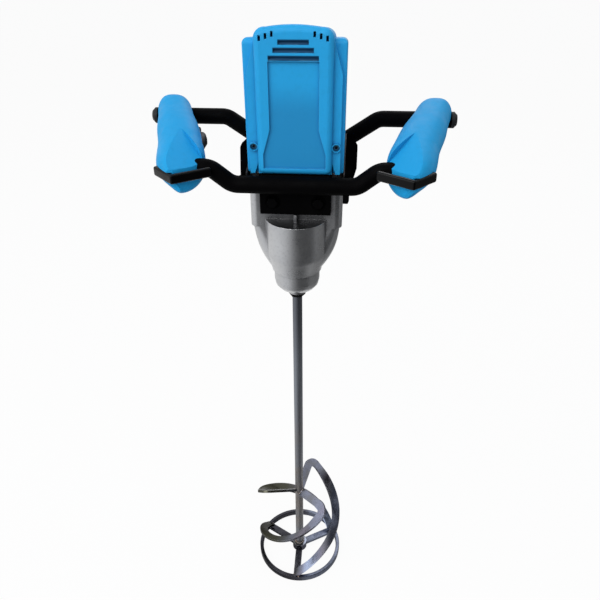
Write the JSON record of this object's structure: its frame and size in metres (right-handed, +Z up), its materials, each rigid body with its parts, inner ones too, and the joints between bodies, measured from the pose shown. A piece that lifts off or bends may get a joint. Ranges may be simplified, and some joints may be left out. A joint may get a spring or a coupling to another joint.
{
  "type": "mixing drill",
  "caption": "Upright two-handed mixing drill: blue motor housing over a cast gear case, a tube frame with side grips, and a long shaft with a helical stirrer.",
  "frame": {"origin": "on the spindle axis at the underside of the stirrer", "axes": "+Z up along the spindle axis, -Y towards the front cover, +X to the right of someone who looks at the front cover"},
  "size_m": [0.388, 0.188, 0.8637],
  "materials": {
    "blue_plastic": "moulded, satin gloss",
    "cast_aluminium": "die cast, fine blast",
    "black_steel": "powder coated black",
    "dark_fasteners": "blackened steel",
    "stirrer_steel": "welded mild steel, zinc plated",
    "machined_steel": "machined",
    "bearing_steel": "ground",
    "laminations": "stacked sheet",
    "copper": "enamelled copper and brass",
    "carbon": "pressed carbon",
    "black_plastic": "moulded, matt",
    "black_rubber": "matt"
  },
  "bodies": {
    "machine": {"rear_housing": "blue_plastic", "front_cover": "blue_plastic", "left_grip_inner": "blue_plastic", "left_grip_outer": "blue_plastic", "right_grip_inner": "blue_plastic", "right_grip_outer": "blue_plastic", "gear_case": "cast_aluminium", "bearing_plate": "cast_aluminium", "front_tube": "black_steel", "rear_tube": "black_steel", "front_plate": "black_steel", "rear_plate": "black_steel", "left_side_plate": "black_steel", "right_side_plate": "black_steel", "left_yoke": "black_steel", "right_yoke": "black_steel", "front_bolts": "dark_fasteners", "rear_bolts": "dark_fasteners", "housing_screws": "dark_fasteners", "cover_screws": "dark_fasteners", "grip_screws": "dark_fasteners", "dial_pin": "dark_fasteners", "spindle_lower_bearing": "bearing_steel", "spindle_upper_bearing": "bearing_steel", "counter_lower_bearing": "bearing_steel", "counter_upper_bearing": "bearing_steel", "armature_lower_bearing": "bearing_steel", "armature_upper_bearing": "bearing_steel", "stator_core": "laminations", "field_coils": "copper", "brush_holders": "copper", "carbon_brushes": "carbon", "brush_bridge": "black_plastic", "switch_module": "black_plastic", "spindle_seal": "black_rubber", "cable_gland": "black_rubber", "tube_end_caps": "black_rubber"},
    "spindle": {"spindle": "machined_steel", "output_gear": "machined_steel", "stirrer_shaft": "stirrer_steel", "lock_nut": "dark_fasteners", "stirrer_spider": "stirrer_steel", "stirrer_ring": "stirrer_steel", "stirrer_blade_1": "stirrer_steel", "stirrer_blade_2": "stirrer_steel", "stirrer_blade_3": "stirrer_steel"},
    "countershaft": {"counter_shaft": "machined_steel", "counter_gear": "machined_steel"},
    "armature": {"armature_shaft": "machined_steel", "armature_core": "laminations", "commutator": "copper", "cooling_fan": "black_plastic"},
    "trigger": {"trigger": "black_plastic"},
    "lock_button": {"lock_button": "black_plastic"},
    "speed_dial": {"speed_dial": "black_plastic"}
  },
  "joints": [
    {"name": "spindle_spin", "type": "hinge", "parent": "machine", "child": "spindle", "pos_m": [0, 0, 0.58], "axis": [0, 0, 1], "continuous": true},
    {"name": "countershaft_spin", "type": "hinge", "parent": "machine", "child": "countershaft", "pos_m": [0.0244, 0.02439, 0.64], "axis": [0, 0, 1], "continuous": true},
    {"name": "armature_spin", "type": "hinge", "parent": "machine", "child": "armature", "pos_m": [0, 0.033, 0.76], "axis": [0, 0, 1], "continuous": true},
    {"name": "trigger_press", "type": "slide", "parent": "machine", "child": "trigger", "axis": [-1, 0, 0], "range_m": [0, 0.006], "stiffness_N_per_m": 700, "springref_m": -0.003},
    {"name": "lock_button_press", "type": "slide", "parent": "machine", "child": "lock_button", "axis": [-1, 0, 0], "range_m": [0, 0.0025], "stiffness_N_per_m": 600, "springref_m": -0.002},
    {"name": "speed_dial_turn", "type": "hinge", "parent": "machine", "child": "speed_dial", "pos_m": [-0.1435, 0.076, 0.733], "axis": [0, 0, 1], "range_deg": [0, 270]}
  ],
  "couplings": [
    {"joint": "countershaft_spin", "follows": "spindle_spin", "ratio": -2.8333},
    {"joint": "armature_spin", "follows": "spindle_spin", "ratio": 13.458}
  ]
}
